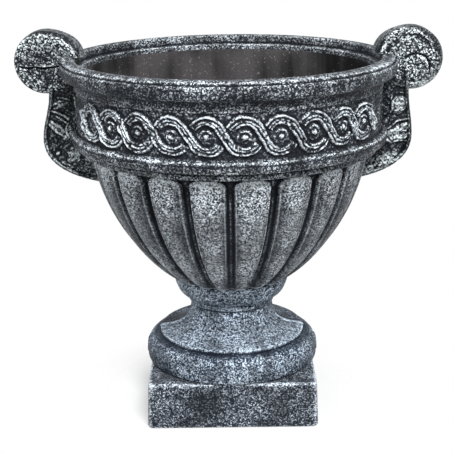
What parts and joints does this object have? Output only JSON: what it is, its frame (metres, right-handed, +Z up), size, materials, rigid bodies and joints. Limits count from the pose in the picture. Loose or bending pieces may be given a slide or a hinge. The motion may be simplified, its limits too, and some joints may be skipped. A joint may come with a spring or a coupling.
{
  "type": "footed planter vase",
  "caption": "Wide planter vase with rolled rim, guilloche frieze, lobed bowl and scroll handles, on a flared foot and square plinth.",
  "frame": {"origin": "centre of the plinth's underside, on the ground", "axes": "+Z up, +X towards the right handle, -Y towards the viewer of the picture"},
  "size_m": [0.408, 0.322, 0.3786],
  "materials": {
    "stone": "dark cast stone look with silver-grey dry brushing",
    "steel": "zinc-plated",
    "rubber": "matte"
  },
  "bodies": {
    "root": {"plinth": "stone", "foot": "stone", "bowl": "stone", "handle_right": "stone", "handle_left": "stone", "foot_gasket": "rubber", "foot_washer_1": "steel", "foot_screw_1": "steel", "plinth_washer_1": "steel", "plinth_screw_1": "steel", "foot_washer_2": "steel", "foot_screw_2": "steel", "plinth_washer_2": "steel", "plinth_screw_2": "steel", "foot_washer_3": "steel", "foot_screw_3": "steel", "plinth_washer_3": "steel", "plinth_screw_3": "steel", "handle_washer_left_lower": "steel", "handle_screw_left_lower": "steel", "handle_washer_left_upper": "steel", "handle_screw_left_upper": "steel", "handle_washer_right_lower": "steel", "handle_screw_right_lower": "steel", "handle_washer_right_upper": "steel", "handle_screw_right_upper": "steel"}
  },
  "joints": []
}
